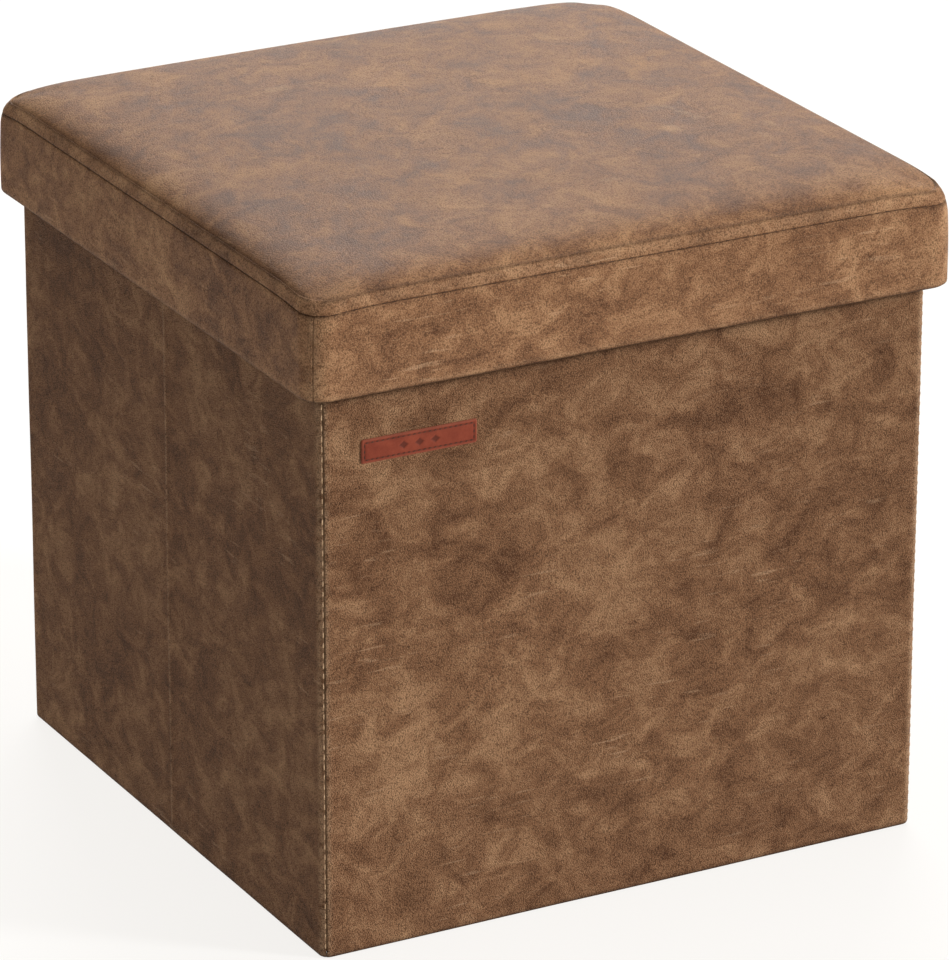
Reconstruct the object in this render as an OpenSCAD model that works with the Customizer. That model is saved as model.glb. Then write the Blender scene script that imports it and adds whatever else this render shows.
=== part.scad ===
// Folding storage ottoman: a lift-off padded lid on a box whose two side walls fold inward.
// Origin at the centre of the footprint on the floor, +Z up, the labelled front wall faces -Y.

/* [Body] */
// Outer width and depth of the folding box
body_size = 356; // [330:1:368]
// Height of the top edge of the walls above the floor
wall_top = 352; // [300:1:420]
// Outer radius of the leather round the box's upright corners
corner_r = 5; // [4:0.5:7]
// Width of the corner leather that shows on the front and back walls
band_w = 5; // [5:0.5:9]
// Width of the crease strip in the middle of each side wall
crease_w = 6; // [4:1:10]

/* [Walls] */
// Thickness of the leather
cover_t = 1.2; // [0.8:0.1:1.6]
// Thickness of the wall boards
board_t = 6; // [5:0.5:7]
// Thickness of the non-woven lining
lining_t = 0.8; // [0.5:0.1:1]
// Height of the soft turned-under hem below the wall boards
hem_h = 3.6; // [3.6:0.1:5]
// How far the leather turns down inside the top of each wall
lip_h = 16; // [10:1:30]

/* [Fold] */
// Space kept at the corner hinges for the stowed base
stow_gap = 6.5; // [6.5:0.1:9]
// Clearance between pieces that move past each other
play = 0.3; // [0.2:0.05:0.5]

/* [Base] */
// Thickness of the base boards
base_t = 2.4; // [2:0.1:2.4]
// Thickness of the cloth under the base boards
base_cloth_t = 0.4; // [0.3:0.05:0.5]
// Gap round the base boards
base_gap = 0.5; // [0.4:0.1:1.5]
// Width of the pull ribbon
ribbon_w = 20; // [12:1:30]
// Length of the pull ribbon's flat loop
ribbon_l = 46; // [30:1:80]

/* [Lid] */
// Outer width and depth of the lid
lid_size = 380; // [378:1:400]
// Outer radius of the lid's upright corners
lid_r = 12; // [8:1:16]
// Height of the leather skirt from its bottom edge to the seam of the top
skirt_h = 55; // [50:1:75]
// Height of the seam of the top above the top edge of the walls
seam_rise = 13; // [10:0.5:16]
// Height of the crown of the top above its seam
crown_h = 11; // [6:0.5:16]
// Thickness of the lid board
lid_board_t = 6; // [4:0.5:8]
// Thickness of the rim boards under the lid board
rim_t = 5; // [4:0.5:5]
// Staples in each side of the lid
staples_per_side = 5; // [3:1:9]

/* [Label] */
// Width of the stitched leather patch
label_w = 66; // [40:1:90]
// Height of the stitched leather patch
label_h = 13; // [10:1:30]
// Thickness of the stitched leather patch
label_t = 1; // [0.8:0.1:2]

/* [Hidden] */
$fn = 64;
body_half = body_size / 2;
wall_t = cover_t + board_t + lining_t;
inner_half = body_half - wall_t;      // inner face of the lining
hinge_y = inner_half - stow_gap;      // corner hinge axes, front and back
board_z1 = wall_top - cover_t;        // top edge of the wall boards
lip_z0 = wall_top - lip_h;            // bottom edge of the leather inside the walls

base_half = inner_half - base_gap;
base_z1 = base_cloth_t + base_t;      // top face of the base boards
ribbon_t = 0.5;

lid_half = lid_size / 2;
seam_z = wall_top + seam_rise;        // seam between the skirt and the top
skirt_z0 = seam_z - skirt_h;          // bottom edge of the skirt
rim_z0 = skirt_z0 + cover_t;
rim_in = lid_half - cover_t - rim_t;  // inner face of the rim boards
cap_in = rim_in - lining_t;           // inner face of the lid's lining
lid_z0 = wall_top + play;             // underside of the lid
lid_board_z0 = lid_z0 + lining_t;
lid_board_z1 = lid_board_z0 + lid_board_t;
lid_lip_h = 12;
lid_lip_z1 = rim_z0 + lid_lip_h;      // top of the leather turned up inside the skirt

crown_z = seam_z + crown_h;           // highest point of the top

// Cross-section of the crowned top: [inset from the lid's side, share of the crown's height]
crown = [[0, 0], [2.5, 0.32], [9, 0.58], [36, 0.8], [95, 0.95], [150, 1]];

staple_margin = 30;                   // from the inside corners of the rim to the end staples
staple_w = 10;
staple_leg = 12;
staple_wire = 0.8;

label_x = -122;                       // centre of the patch
label_z = 276.5;

leather = "#7d5c43";
leather_light = "#8d6b4f";
leather_dark = "#4a3325";
lining = "#26231f";
board = "#b8935f";
hardboard = "#8a6a48";
foam = "#e6dfca";
steel = "#b9bcc0";
patch = "#6f3a2b";

// ---- plan shapes ----

// Square of the given half width with round corners
module round_square(half, r) {
    square([2 * half, 2 * (half - r)], center = true);
    square([2 * (half - r), 2 * half], center = true);
    for (sx = [-1, 1], sy = [-1, 1])
        translate([sx * (half - r), sy * (half - r)]) circle(r = r);
}

// The box's outline, moved in by inset
module footprint(inset = 0) {
    round_square(body_half - inset, corner_r - inset);
}

// The lid's outline, moved in by inset
module lid_outline(inset = 0) {
    round_square(lid_half - inset, lid_r - min(inset, lid_r / 2));
}

// Rectangle between two corners
module span(x0, x1, y0, y1) {
    translate([x0, y0]) square([x1 - x0, y1 - y0]);
}

// Upright prism between two heights
module rise(z0, z1) {
    translate([0, 0, z0]) linear_extrude(z1 - z0) children();
}

module at_back() {
    mirror([0, 1, 0]) children();
}

module at_right() {
    mirror([1, 0, 0]) children();
}

// ---- front and back walls, drawn at the front ----

// The whole thickness of the wall, less the corner leather
module end_wall_plan() {
    intersection() {
        footprint(cover_t);
        span(-body_half, body_half, -body_half, -inner_half);
    }
    span(-body_half + band_w, body_half - band_w, -body_half, -inner_half);
}

module end_wall_board() {
    color(board) rise(hem_h, board_z1) intersection() {
        footprint(cover_t);
        span(-body_half, body_half, -body_half, -inner_half - lining_t);
    }
}

module end_wall_cover() {
    color(leather) {
        rise(hem_h, wall_top)
            span(-body_half + band_w, body_half - band_w, -body_half, -body_half + cover_t);
        rise(board_z1, wall_top) end_wall_plan();
        rise(lip_z0, wall_top) end_wall_inner_skin();
    }
}

module end_wall_inner_skin() {
    span(-inner_half, inner_half, -inner_half - lining_t, -inner_half);
}

module end_wall_lining() {
    color(lining) rise(hem_h, lip_z0) end_wall_inner_skin();
}

module end_wall_hem() {
    color(leather_dark) rise(0, hem_h) end_wall_plan();
}

// ---- side walls, drawn as the front half of the left wall ----

module side_core_plan() {
    span(-body_half + cover_t, -inner_half, -inner_half + play, -play);
}

module side_skin_plan() {
    span(-body_half, -body_half + cover_t, -hinge_y, -crease_w / 2);
}

module side_inner_skin() {
    span(-inner_half - lining_t, -inner_half, -inner_half + play, -play);
}

module side_board() {
    color(board) rise(hem_h, board_z1)
        span(-body_half + cover_t, -inner_half - lining_t, -inner_half + play, -play);
}

module side_cover() {
    color(leather) {
        rise(hem_h, wall_top) side_skin_plan();
        rise(board_z1, wall_top) side_core_plan();
        rise(lip_z0, wall_top) side_inner_skin();
    }
}

module side_lining() {
    color(lining) rise(hem_h, lip_z0) side_inner_skin();
}

module side_hem() {
    color(leather_dark) rise(0, hem_h) {
        side_skin_plan();
        side_core_plan();
    }
}

// ---- soft leather that bends: corners and creases, drawn at the front left ----

module corner_leather() {
    color(leather_light) rise(0, wall_top) intersection() {
        difference() {
            footprint();
            footprint(cover_t);
        }
        span(-body_half, -body_half + band_w, -body_half, -hinge_y);
    }
}

module crease_leather() {
    color(leather_light) rise(0, wall_top)
        span(-body_half, -body_half + cover_t, -crease_w / 2, crease_w / 2);
}

module label_patch() {
    color(patch) translate([label_x, -body_half, label_z])
        rotate([90, 0, 0]) linear_extrude(label_t)
            square([label_w, label_h], center = true);
}

// ---- folding base ----

module base_rear_board() {
    color(hardboard) rise(base_cloth_t, base_z1)
        span(-base_half, base_half, play / 2, base_half);
}

module base_front_board() {
    color(hardboard) rise(base_cloth_t, base_z1)
        span(-base_half, base_half, -base_half, -play / 2);
}

module base_cloth() {
    color(lining) rise(0, base_cloth_t)
        square(2 * inner_half - play, center = true);
}

// A flat loop lying on the front half of the base
module base_ribbon() {
    finger_hole = ribbon_w * 0.3;
    color(leather_dark) rise(base_z1, base_z1 + ribbon_t)
        translate([0, -ribbon_w / 2]) difference() {
            union() {
                span(-ribbon_w / 2, ribbon_w / 2, -ribbon_l, 0);
                translate([0, -ribbon_l]) circle(d = ribbon_w);
            }
            translate([0, -ribbon_l]) circle(d = finger_hole);
        }
}

// ---- lid ----

// Plan of the rim boards and, with a smaller inner face, of the skirt round them
module lid_ring(inset, inner) {
    difference() {
        lid_outline(inset);
        square(2 * inner, center = true);
    }
}

// Quarter of the plan that belongs to the front side, cut along the diagonals
module front_quarter() {
    polygon([[0, 0], [-2 * lid_half, -2 * lid_half], [2 * lid_half, -2 * lid_half]]);
}

module lid_board() {
    color(board) rise(lid_board_z0, lid_board_z1) square(2 * rim_in, center = true);
}

module lid_rim_end() {
    color(board) rise(rim_z0, lid_board_z1) intersection() {
        lid_ring(cover_t, rim_in);
        span(-lid_half, lid_half, -lid_half, -rim_in);
    }
}

module lid_rim_side() {
    color(board) rise(rim_z0, lid_board_z1) intersection() {
        lid_ring(cover_t, rim_in);
        span(-lid_half, -rim_in, -rim_in, rim_in);
    }
}

// Leather down one side, turned under the rim and up inside it
module lid_skirt() {
    color(leather) {
        rise(skirt_z0, seam_z) intersection() {
            difference() {
                lid_outline();
                lid_outline(cover_t);
            }
            front_quarter();
        }
        rise(skirt_z0, rim_z0) intersection() {
            lid_ring(0, cap_in);
            front_quarter();
        }
        rise(skirt_z0, lid_lip_z1) intersection() {
            difference() {
                square(2 * rim_in, center = true);
                square(2 * cap_in, center = true);
            }
            front_quarter();
        }
    }
}

module lid_lining() {
    color(lining) {
        rise(lid_z0, lid_board_z0) square(2 * rim_in, center = true);
        rise(lid_lip_z1, lid_board_z0) difference() {
            square(2 * rim_in, center = true);
            square(2 * cap_in, center = true);
        }
    }
}

// Cross-section of the top, with skin taken off its top and sides
module crown_profile(skin) {
    left = [for (c = crown) [-lid_half + skin + c[0], seam_z - skin + c[1] * crown_h]];
    right = [for (i = [len(left) - 1:-1:0]) [-left[i][0], left[i][1]]];
    polygon(concat([[left[0][0], rim_z0]], left, right, [[right[len(right) - 1][0], rim_z0]]));
}

// Crowned block on the lid's outline, with skin taken off its top and sides
module crown_block(z0, skin) {
    intersection() {
        rise(z0, crown_z) lid_outline(skin);
        rotate([90, 0, 0]) linear_extrude(2 * lid_size, center = true) crown_profile(skin);
        rotate([90, 0, 90]) linear_extrude(2 * lid_size, center = true) crown_profile(skin);
    }
}

module lid_foam() {
    color(foam) crown_block(lid_board_z1, cover_t);
}

module lid_top_cover() {
    color(leather_light) difference() {
        crown_block(seam_z, 0);
        crown_block(lid_board_z1, cover_t);
    }
}

// Staples through each rim board into the edge of the lid board
module lid_staples() {
    z = (lid_board_z0 + lid_board_z1) / 2;
    pitch = 2 * (rim_in - staple_margin) / (staples_per_side - 1);
    color(steel)
        for (side = [0:3], i = [0:staples_per_side - 1])
            rotate(side * 90)
                translate([(i - (staples_per_side - 1) / 2) * pitch, -lid_half + cover_t, z])
                    staple();
}

module staple() {
    translate([-staple_w / 2, 0, -staple_wire / 2]) cube([staple_w, staple_wire, staple_wire]);
    for (x = [-staple_w / 2, staple_w / 2 - staple_wire])
        translate([x, 0, -staple_wire / 2]) cube([staple_wire, staple_leg, staple_wire]);
}

// ---- nodes ----

at_back() end_wall_board();  // back_board
at_back() end_wall_cover();  // back_cover
at_back() end_wall_lining();  // back_lining
at_back() end_wall_hem();  // back_hem
end_wall_board();  // front_board
end_wall_cover();  // front_cover
end_wall_lining();  // front_lining
end_wall_hem();  // front_hem
at_back() side_board();  // left_rear_board
at_back() side_cover();  // left_rear_cover
at_back() side_lining();  // left_rear_lining
at_back() side_hem();  // left_rear_hem
side_board();  // left_front_board
side_cover();  // left_front_cover
side_lining();  // left_front_lining
side_hem();  // left_front_hem
at_right() at_back() side_board();  // right_rear_board
at_right() at_back() side_cover();  // right_rear_cover
at_right() at_back() side_lining();  // right_rear_lining
at_right() at_back() side_hem();  // right_rear_hem
at_right() side_board();  // right_front_board
at_right() side_cover();  // right_front_cover
at_right() side_lining();  // right_front_lining
at_right() side_hem();  // right_front_hem
at_back() corner_leather();  // back_left_corner
at_right() at_back() corner_leather();  // back_right_corner
corner_leather();  // front_left_corner
at_right() corner_leather();  // front_right_corner
crease_leather();  // left_crease
at_right() crease_leather();  // right_crease
label_patch();
base_rear_board();
base_front_board();
base_cloth();
base_ribbon();
lid_board();
lid_rim_end();  // lid_rim_front
at_back() lid_rim_end();  // lid_rim_back
lid_rim_side();  // lid_rim_left
at_right() lid_rim_side();  // lid_rim_right
lid_foam();
lid_top_cover();
lid_skirt();  // lid_skirt_front
rotate(180) lid_skirt();  // lid_skirt_back
rotate(-90) lid_skirt();  // lid_skirt_left
rotate(90) lid_skirt();  // lid_skirt_right
lid_lining();
lid_staples();
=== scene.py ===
import math

import bmesh
import bpy
import numpy as np
from mathutils import Matrix, Vector, noise


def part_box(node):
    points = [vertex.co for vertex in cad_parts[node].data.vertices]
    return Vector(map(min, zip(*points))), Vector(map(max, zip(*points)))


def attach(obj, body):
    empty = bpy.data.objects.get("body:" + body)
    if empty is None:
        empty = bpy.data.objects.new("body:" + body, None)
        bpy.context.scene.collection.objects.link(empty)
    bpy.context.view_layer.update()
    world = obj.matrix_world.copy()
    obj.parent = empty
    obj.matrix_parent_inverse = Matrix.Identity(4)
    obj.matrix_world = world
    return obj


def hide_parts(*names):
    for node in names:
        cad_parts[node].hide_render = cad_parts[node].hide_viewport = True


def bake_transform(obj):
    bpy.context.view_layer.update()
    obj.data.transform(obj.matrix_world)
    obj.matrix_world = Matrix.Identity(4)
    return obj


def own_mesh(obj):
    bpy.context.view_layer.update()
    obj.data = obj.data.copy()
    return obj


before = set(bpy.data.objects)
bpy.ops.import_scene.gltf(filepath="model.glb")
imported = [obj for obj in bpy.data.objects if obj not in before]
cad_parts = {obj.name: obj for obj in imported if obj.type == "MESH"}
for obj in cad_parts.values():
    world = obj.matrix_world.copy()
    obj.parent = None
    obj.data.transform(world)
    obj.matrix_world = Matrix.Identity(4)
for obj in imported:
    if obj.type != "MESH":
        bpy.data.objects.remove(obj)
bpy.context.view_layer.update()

MM = 0.001
UP = Vector((0, 0, 1))

# ---- sizes of the box, read from the frame ----
corner_low, corner_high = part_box("front_left_corner")
_, lining_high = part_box("front_lining")
HALF = -corner_low.x  # outer plane of each wall
TOP = corner_high.z  # top edge of the walls
HINGE = -corner_high.y  # corner hinge lines, from the middle of a side
INNER = -lining_high.y  # inner face of the walls
LIP_Z = lining_high.z  # lower edge of the leather inside the walls
HEM_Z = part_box("front_hem")[1].z  # top of the soft hem
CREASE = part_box("left_crease")[1].y  # half width of the crease strips
SIDE_END = -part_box("left_front_board")[0].y  # outer end of each side half
SIDE_GAP = -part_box("left_front_board")[1].y  # gap of each side half from the middle

# ---- sizes of the lid ----
skirt_low, skirt_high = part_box("lid_skirt_front")
LID_HALF = -skirt_low.y
LID_INNER = -skirt_high.y
SKIRT_Z = skirt_low.z
SEAM_Z = skirt_high.z
CROWN_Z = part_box("lid_top_cover")[1].z
LID_LIP_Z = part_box("lid_lining")[0].z
lid_board_low, lid_board_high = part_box("lid_board")

# ---- looks of the leather work ----
CORNER_R = 5.5 * MM
LID_R = (skirt_low.x + LID_HALF) / (1 - math.sqrt(0.5))
SKIN_T = 0.9 * MM
SEAM_FROM_CORNER = 2.4 * MM  # upright seams, from the side plane
SEAM_ROLL = 1.1 * MM
SEAM_GAP = 0.12 * MM
TOP_ROLL = 1.6 * MM
STITCH_PITCH = 5.6 * MM
STITCH_LENGTH = 3.7 * MM
THREAD_R = 0.34 * MM


def quarter_length(half, radius):
    """Length of a quarter of a rounded square's outline."""
    return 2 * (half - radius) + radius * math.pi / 2


QUARTER = quarter_length(HALF, CORNER_R)
STRAIGHT = HALF - CORNER_R
SEAM_AT = STRAIGHT + CORNER_R * math.asin(1 - SEAM_FROM_CORNER / CORNER_R)

# Each side half: name, quarter turns from the front, side of the crease in the wall's own direction
SIDE_HALVES = (
    ("left_front", 3, 1),
    ("left_rear", 3, -1),
    ("right_front", 1, -1),
    ("right_rear", 1, 1),
)

# Each corner: name, quarter turns from the front left one, side of the box, bodies its leather joins
CORNERS = (
    ("front_left", 0, (-1, -1), ("front", "left_front")),
    ("front_right", 1, (1, -1), ("front", "corner_strip")),
    ("back_right", 2, (1, 1), ("back", "right_rear")),
    ("back_left", -1, (-1, 1), ("back", "left_rear")),
)


# ---- camera and light ----

CAMERA_AZIMUTH = math.radians(-28.41)
CAMERA_ELEVATION = math.radians(21.65)
CAMERA_ROLL = math.radians(0.11)
CAMERA_DISTANCE = 3.420
CAMERA_TARGET = Vector((0.0011, -0.0093, 0.1733))
CAMERA_LENS = 238.1
SENSOR = 36.0


def add_object(name, data):
    """A new object in the scene."""
    made = bpy.data.objects.new(name, data)
    bpy.context.scene.collection.objects.link(made)
    return made


def make_camera():
    data = bpy.data.cameras.new("camera")
    data.sensor_width = SENSOR
    data.lens = CAMERA_LENS
    data.clip_end = 50.0
    camera = add_object("camera", data)
    level = math.cos(CAMERA_ELEVATION)
    back = Vector((
        math.sin(CAMERA_AZIMUTH) * level,
        -math.cos(CAMERA_AZIMUTH) * level,
        math.sin(CAMERA_ELEVATION),
    ))
    turn = back.to_track_quat("Z", "Y").to_matrix().to_4x4()
    roll = Matrix.Rotation(CAMERA_ROLL, 4, "Z")
    camera.matrix_world = Matrix.Translation(CAMERA_TARGET + back * CAMERA_DISTANCE) @ turn @ roll
    bpy.context.scene.camera = camera


def add_light(name, kind, place, target, energy):
    """A light at a place, turned towards its target."""
    data = bpy.data.lights.new(name, kind)
    data.energy = energy
    light = add_object(name, data)
    light.location = place
    light.rotation_euler = (Vector(place) - Vector(target)).to_track_quat("Z", "Y").to_euler()
    return data


def make_lights():
    """A low sun that lights the floor evenly, and two soft panels."""
    middle = (0, 0, TOP / 2)
    key = add_light("key", "SUN", (1.7, -1.45, 0.93), middle, 3.35)
    key.angle = math.radians(9.0)
    overhead = add_light("overhead", "AREA", (0.2, 0.4, 2.6), middle, 47.0)
    rear = add_light("rear", "AREA", (1.7, 3.1, 1.75), (0, 0, TOP), 60.0)
    for panel, height in ((overhead, 2.2), (rear, 1.0)):
        panel.shape = "RECTANGLE"
        panel.size = 2.2
        panel.size_y = height
    world = bpy.data.worlds.new("studio")
    world.use_nodes = True
    background = world.node_tree.nodes["Background"]
    background.inputs["Color"].default_value = (1.0, 1.0, 1.0, 1.0)
    background.inputs["Strength"].default_value = 0.06
    bpy.context.scene.world = world


def make_floor():
    """A wide pale floor, lit so that it comes out nearly white."""
    reach = 30.0
    mesh = bpy.data.meshes.new("floor")
    corners = [(-reach, -reach, 0), (reach, -reach, 0), (reach, reach, 0), (-reach, reach, 0)]
    mesh.from_pydata(corners, [], [(0, 1, 2, 3)])
    floor = add_object("floor", mesh)
    floor.location.z = -0.1 * MM
    material = bpy.data.materials.new("floor_paint")
    material.use_nodes = True
    shader = material.node_tree.nodes["Principled BSDF"]
    shader.inputs["Base Color"].default_value = (0.12, 0.12, 0.12, 1.0)
    shader.inputs["Roughness"].default_value = 0.8
    shader.inputs["Emission Color"].default_value = (1.0, 0.98, 0.95, 1.0)
    shader.inputs["Emission Strength"].default_value = 0.86
    mesh.materials.append(material)


# ---- material helpers ----

def srgb(red, green, blue):
    """A colour given as the eye sees it, 0 to 255, as the linear colour that shaders take."""
    linear = []
    for value in (red, green, blue):
        share = value / 255
        linear.append(share / 12.92 if share <= 0.04045 else ((share + 0.055) / 1.055) ** 2.4)
    return (*linear, 1.0)


class Shader:
    """A new material's node tree, with short ways to add and join nodes."""

    def __init__(self, name):
        self.material = bpy.data.materials.new(name)
        self.material.use_nodes = True
        self.tree = self.material.node_tree
        self.surface = self.tree.nodes["Principled BSDF"]

    def add(self, kind, inputs=None, **settings):
        made = self.tree.nodes.new(kind)
        for key, value in settings.items():
            setattr(made, key, value)
        for key, value in (inputs or {}).items():
            self.put(made.inputs[key], value)
        return made

    def put(self, socket, value):
        if isinstance(value, bpy.types.NodeSocket):
            self.tree.links.new(value, socket)
        else:
            socket.default_value = value

    def rest(self):
        """Where the point is at rest, so that the pattern stays on a piece that bends."""
        return self.add("ShaderNodeAttribute", attribute_name="rest").outputs["Vector"]

    def own(self):
        """Where the point is on a rigid piece."""
        return self.add("ShaderNodeTexCoord").outputs["Object"]

    def amount(self, name):
        """A value kept on each point of the mesh, such as wear."""
        return self.add("ShaderNodeAttribute", attribute_name=name).outputs["Fac"]

    def noise(self, place, scale, detail=2.0, rough=0.5, distortion=0.0):
        inputs = {"Vector": place, "Scale": scale, "Detail": detail, "Roughness": rough}
        return self.add("ShaderNodeTexNoise", {**inputs, "Distortion": distortion}).outputs["Fac"]

    def cells(self, place, scale, feature="F1", randomness=1.0):
        inputs = {"Vector": place, "Scale": scale, "Randomness": randomness}
        return self.add("ShaderNodeTexVoronoi", inputs, feature=feature).outputs["Distance"]

    def bands(self, place, scale, direction):
        inputs = {"Vector": place, "Scale": scale}
        return self.add("ShaderNodeTexWave", inputs, bands_direction=direction).outputs["Fac"]

    def math(self, operation, first, second):
        made = self.add("ShaderNodeMath", operation=operation)
        self.put(made.inputs[0], first)
        self.put(made.inputs[1], second)
        return made.outputs[0]

    def times(self, first, second):
        return self.math("MULTIPLY", first, second)

    def plus(self, first, second):
        return self.math("ADD", first, second)

    def map(self, value, low, high, new_low=0.0, new_high=1.0):
        inputs = {"Value": value, "From Min": low, "From Max": high, "To Min": new_low, "To Max": new_high}
        return self.add("ShaderNodeMapRange", inputs, interpolation_type="SMOOTHSTEP").outputs["Result"]

    def mix(self, share, first, second, blend="MIX"):
        made = self.add("ShaderNodeMix", data_type="RGBA", blend_type=blend)
        self.put(made.inputs["Factor"], share)
        self.put(made.inputs["A"], first)
        self.put(made.inputs["B"], second)
        return made.outputs["Result"]

    def ramp(self, value, stops):
        made = self.add("ShaderNodeValToRGB", {"Fac": value})
        elements = made.color_ramp.elements
        while len(elements) < len(stops):
            elements.new(0.5)
        for element, (place, colour) in zip(elements, stops):
            element.position = place
            element.color = colour
        return made.outputs["Color"]

    def stretch(self, place, scale, turn=(0.0, 0.0, 0.0)):
        inputs = {"Vector": place, "Scale": scale, "Rotation": turn}
        return self.add("ShaderNodeMapping", inputs).outputs["Vector"]

    def bump(self, height, distance, strength=1.0, under=None):
        made = self.add("ShaderNodeBump", {"Height": height, "Distance": distance, "Strength": strength})
        if under is not None:
            self.put(made.inputs["Normal"], under)
        return made.outputs["Normal"]

    def finish(self, colour, roughness, normal, specular=0.5):
        self.put(self.surface.inputs["Base Color"], colour)
        self.put(self.surface.inputs["Roughness"], roughness)
        self.put(self.surface.inputs["Normal"], normal)
        self.surface.inputs["Specular IOR Level"].default_value = specular
        return self.material


# ---- materials ----

LEATHER_DARK = srgb(88, 58, 38)
LEATHER_MID = srgb(118, 83, 57)
LEATHER_LIGHT = srgb(150, 113, 81)
LEATHER_WORN_AND_HIGHLIGHT = srgb(172, 138, 106)
LEATHER_DEEP = srgb(40, 26, 18)


def leather(name, offset, specular, grain, tint):
    """Oiled split leather: cloudy patches, fine pebble grain, faint scratches, wear where told, a painted
    highlight where told, and painted shade where told.
    """
    s = Shader(name)
    place = s.add("ShaderNodeVectorMath", {0: s.rest(), 1: offset}, operation="ADD").outputs[0]
    broad = s.noise(place, 11.0, 3.0, 0.55, 0.3)
    patches = s.noise(s.stretch(place, (46.0, 46.0, 58.0)), 1.0, 9.0, 0.72, 0.6)
    cloud = s.plus(s.times(broad, 0.25), s.times(patches, 0.75))
    colour = s.ramp(cloud, [
        (0.38, LEATHER_DARK),
        (0.50, LEATHER_MID),
        (0.64, LEATHER_LIGHT),
    ])
    scratches = leather_scratches(s, place)
    colour = s.mix(s.times(scratches, 0.36), colour, LEATHER_WORN_AND_HIGHLIGHT)
    # Wear lightens the leather, and on the lid's shoulder the same amount is a painted highlight.
    worn = s.times(s.amount("wear_and_highlight"), s.map(s.noise(place, 260.0, 3.0), 0.25, 0.6))
    colour = s.mix(s.times(worn, 0.55), colour, LEATHER_WORN_AND_HIGHLIGHT)
    height, pores, crests = leather_grain(s, place)
    colour = s.mix(s.times(pores, 0.55), colour, LEATHER_DEEP)
    colour = s.mix(s.times(crests, 0.3), colour, LEATHER_WORN_AND_HIGHLIGHT)
    colour = s.mix(1.0, colour, tint, "MULTIPLY")
    # Painted shade: darker in seam grooves, the stitched line and along bottom edges, as each piece asks.
    colour = s.mix(s.amount("painted_shade"), colour, LEATHER_DEEP)
    roughness = s.map(s.plus(cloud, s.times(pores, 0.2)), 0.35, 0.75, 0.52, 0.68)
    folds = s.bump(scratches, 0.1 * MM, 0.5)
    normal = s.bump(height, grain, 1.0, folds)
    return s.finish(colour, roughness, normal, specular)


def leather_scratches(s, place):
    """Short pale slanting scratches, in loose groups."""
    streaky = s.stretch(place, (45.0, 45.0, 420.0), (0.5, 0.7, 0.2))
    lines = s.map(s.noise(streaky, 1.0, 3.0), 0.6, 0.72)
    groups = s.map(s.noise(place, 14.0, 2.0), 0.46, 0.62)
    return s.times(lines, groups)


def leather_grain(s, place):
    """Pebbles about a millimetre across: their height, the pores between them, and their crests."""
    bent = s.add("ShaderNodeTexNoise", {"Vector": place, "Scale": 700.0, "Detail": 1.0})
    shift = s.add("ShaderNodeVectorMath", {0: bent.outputs["Color"]}, operation="SCALE")
    shift.inputs["Scale"].default_value = 0.6 * MM
    loose = s.add("ShaderNodeVectorMath", {0: place, 1: shift.outputs[0]}, operation="ADD").outputs[0]
    pebbles = s.cells(loose, 1250.0)
    fine = s.noise(place, 2200.0, 2.0)
    depth = s.plus(s.times(pebbles, 0.75), s.times(fine, 0.5))
    height = s.math("SUBTRACT", 1.0, depth)
    return height, s.map(depth, 0.58, 0.88), s.map(depth, 0.52, 0.32)


def patch_leather():
    """Reddish-brown smooth leather of the sewn patch, with painted shade where it is pressed in."""
    s = Shader("patch_leather")
    place = s.rest()
    tone = s.noise(place, 120.0, 4.0, 0.6)
    colour = s.ramp(tone, [(0.3, srgb(110, 46, 30)), (0.7, srgb(134, 62, 42))])
    # Painted shade in the patch's stitched groove and pressed lozenges.
    colour = s.mix(s.amount("painted_shade"), colour, srgb(52, 24, 18))
    colour = s.mix(s.times(s.amount("wear_and_highlight"), 0.5), colour, srgb(150, 88, 66))
    grain = s.cells(place, 1500.0, "SMOOTH_F1")
    normal = s.bump(grain, 0.06 * MM, 0.8)
    roughness = s.map(s.noise(place, 900.0, 2.0), 0.3, 0.7, 0.5, 0.66)
    return s.finish(colour, roughness, normal, 0.12)


def thread(name, light, dark):
    """Twisted sewing thread."""
    s = Shader(name)
    place = s.rest()
    tone = s.noise(place, 900.0, 3.0)
    colour = s.ramp(tone, [(0.3, dark), (0.65, light)])
    turned = s.stretch(place, (2600.0, 2600.0, 2600.0), (0.6, 0.6, 0.3))
    twist = s.bands(turned, 1.0, "X")
    normal = s.bump(twist, 0.08 * MM, 0.7)
    return s.finish(colour, s.map(tone, 0.3, 0.7, 0.6, 0.8), normal, 0.25)


def nonwoven(name, dark, light):
    """Spun-bonded lining cloth: loose fibres pressed together in small dots."""
    s = Shader(name)
    place = s.rest()
    dots = s.cells(place, 620.0, "F1", 0.12)
    pressed = s.map(dots, 0.12, 0.34, 1.0, 0.0)
    fibres = s.noise(s.stretch(place, (900.0, 2600.0, 1500.0), (0.4, 0.3, 0.8)), 1.0, 4.0, 0.7)
    crossing = s.noise(s.stretch(place, (2400.0, 800.0, 1900.0), (1.1, 0.2, 0.4)), 1.0, 4.0, 0.7)
    web = s.math("MAXIMUM", fibres, crossing)
    tone = s.plus(s.times(web, 0.7), s.times(s.noise(place, 24.0, 3.0), 0.3))
    colour = s.ramp(tone, [(0.38, dark), (0.66, light)])
    colour = s.mix(s.times(pressed, 0.6), colour, dark)
    height = s.math("SUBTRACT", web, s.times(pressed, 0.8))
    normal = s.bump(height, 0.14 * MM, 0.9)
    s.surface.inputs["Sheen Weight"].default_value = 0.25
    s.surface.inputs["Sheen Roughness"].default_value = 0.6
    return s.finish(colour, s.map(web, 0.3, 0.8, 0.78, 0.95), normal, 0.2)


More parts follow.
